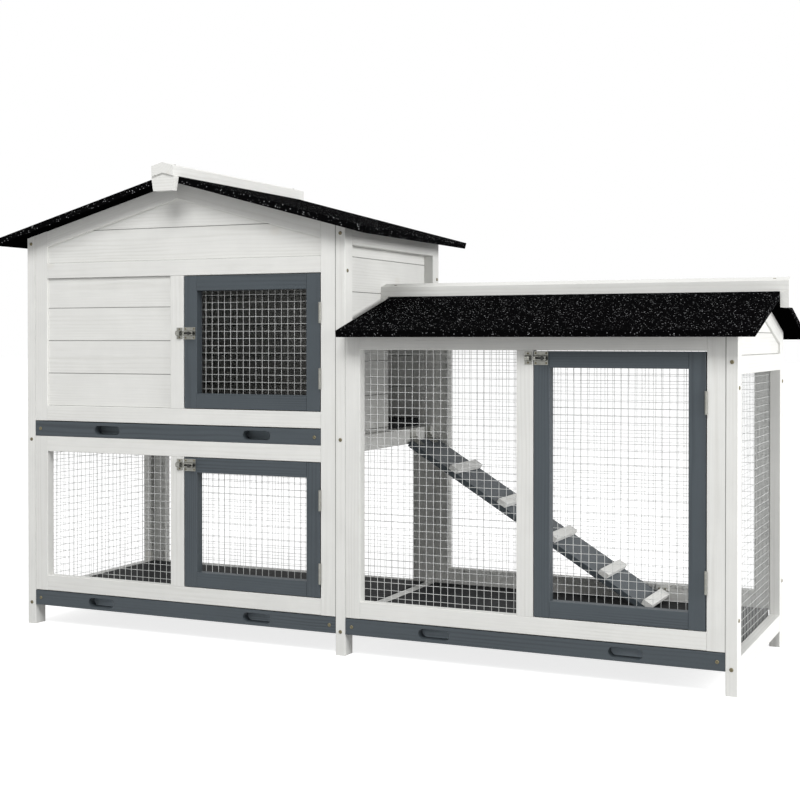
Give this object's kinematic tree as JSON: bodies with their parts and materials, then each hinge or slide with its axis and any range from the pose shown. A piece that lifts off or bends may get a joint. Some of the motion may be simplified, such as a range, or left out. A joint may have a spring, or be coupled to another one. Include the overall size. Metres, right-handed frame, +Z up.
{
  "type": "guinea pig hutch with run",
  "caption": "Wooden pet hutch with a two-storey gabled house, a wire-mesh run beside it, a cleated ramp, mesh doors on butt hinges with barrel bolts and slide-out floor trays.",
  "frame": {"origin": "bottom centre of the whole hutch's bounding box, on the ground", "axes": "+X along the front from the house to the run, +Y from the front to the back, +Z up"},
  "size_m": [1.412, 0.4974, 0.838],
  "materials": {
    "white_paint": "satin white paint on softwood with fine grain and knots showing",
    "grey_paint": "matte slate-grey paint on softwood",
    "roof_board": "dark board under the felt",
    "roof_felt": "black asphalt felt with fine mineral grit",
    "tray_sheet": "black sheet, dull",
    "inner_wood": "white-painted batten, slightly worn",
    "mesh": "galvanised welded wire",
    "hardware": "zinc-plated pressed steel",
    "screws": "dull brass-coloured screw heads"
  },
  "bodies": {
    "hutch": {"left_side_frame": "white_paint", "right_side_frame": "white_paint", "house_front_frame": "white_paint", "house_rear_frame": "white_paint", "gable_boards": "white_paint", "front_planks": "white_paint", "outer_wall_planks": "white_paint", "right_planks": "white_paint", "run_front_frame": "white_paint", "run_rear_frame": "white_paint", "run_end_frame": "white_paint", "house_roof_left_board": "roof_board", "house_roof_left_felt": "roof_felt", "house_roof_right_board": "roof_board", "house_roof_right_felt": "roof_felt", "run_roof_front_board": "roof_board", "run_roof_front_felt": "roof_felt", "run_roof_rear_board": "roof_board", "run_roof_rear_felt": "roof_felt", "house_ridge_cap": "white_paint", "run_ridge_cap": "white_paint", "ridge_end_blocks": "white_paint", "window_meshes": "mesh", "house_rear_mesh": "mesh", "run_rear_mesh": "mesh", "left_side_mesh": "mesh", "run_end_mesh": "mesh", "hinge_frame_leaves": "hardware", "hinge_pins": "hardware", "bolt_keepers": "hardware", "inner_battens": "inner_wood", "upper_floor_strip": "tray_sheet", "frame_screws": "screws"},
    "upper_door": {"upper_door_frame": "grey_paint", "upper_door_mesh": "mesh", "upper_door_hinge_leaves": "hardware", "upper_door_bolt_plate": "hardware"},
    "upper_bolt": {"upper_door_bolt": "hardware"},
    "lower_door": {"lower_door_frame": "grey_paint", "lower_door_mesh": "mesh", "lower_door_hinge_leaves": "hardware", "lower_door_bolt_plate": "hardware"},
    "lower_bolt": {"lower_door_bolt": "hardware"},
    "run_door": {"run_door_frame": "grey_paint", "run_door_mesh": "mesh", "run_door_hinge_leaves": "hardware", "run_door_bolt_plate": "hardware"},
    "run_bolt": {"run_door_bolt": "hardware"},
    "upper_tray": {"upper_tray_front": "grey_paint", "upper_tray_floor": "tray_sheet", "upper_tray_screws": "screws"},
    "lower_tray": {"lower_tray_front": "grey_paint", "lower_tray_floor": "tray_sheet", "lower_tray_screws": "screws"},
    "run_tray": {"run_tray_front": "grey_paint", "run_tray_floor": "tray_sheet", "run_tray_screws": "screws"},
    "ramp": {"ramp_board": "grey_paint", "ramp_cleats": "white_paint", "ramp_hinge_leaves": "hardware"}
  },
  "joints": [
    {"name": "upper_door_hinge", "type": "hinge", "parent": "hutch", "child": "upper_door", "pos_m": [-0.03535, -0.2035, 0.5255], "axis": [0, 0, 1], "range_deg": [0, 135]},
    {"name": "lower_door_hinge", "type": "hinge", "parent": "hutch", "child": "lower_door", "pos_m": [-0.03535, -0.2035, 0.208], "axis": [0, 0, 1], "range_deg": [0, 150]},
    {"name": "run_door_hinge", "type": "hinge", "parent": "hutch", "child": "run_door", "pos_m": [0.61465, -0.2035, 0.303], "axis": [0, 0, 1], "range_deg": [0, 150]},
    {"name": "upper_bolt_slide", "type": "slide", "parent": "upper_door", "child": "upper_bolt", "axis": [-1, 0, 0], "range_m": [0, 0.011]},
    {"name": "lower_bolt_slide", "type": "slide", "parent": "lower_door", "child": "lower_bolt", "axis": [-1, 0, 0], "range_m": [0, 0.011]},
    {"name": "run_bolt_slide", "type": "slide", "parent": "run_door", "child": "run_bolt", "axis": [-1, 0, 0], "range_m": [0, 0.011]},
    {"name": "upper_tray_slide", "type": "slide", "parent": "hutch", "child": "upper_tray", "axis": [0, -1, 0], "range_m": [0, 0.33]},
    {"name": "lower_tray_slide", "type": "slide", "parent": "hutch", "child": "lower_tray", "axis": [0, -1, 0], "range_m": [0, 0.33]},
    {"name": "run_tray_slide", "type": "slide", "parent": "hutch", "child": "run_tray", "axis": [0, -1, 0], "range_m": [0, 0.33]},
    {"name": "ramp_hinge", "type": "hinge", "parent": "hutch", "child": "ramp", "pos_m": [0.01385, 0.1126, 0.348], "axis": [0, -1, 0], "range_deg": [0, 30]}
  ]
}
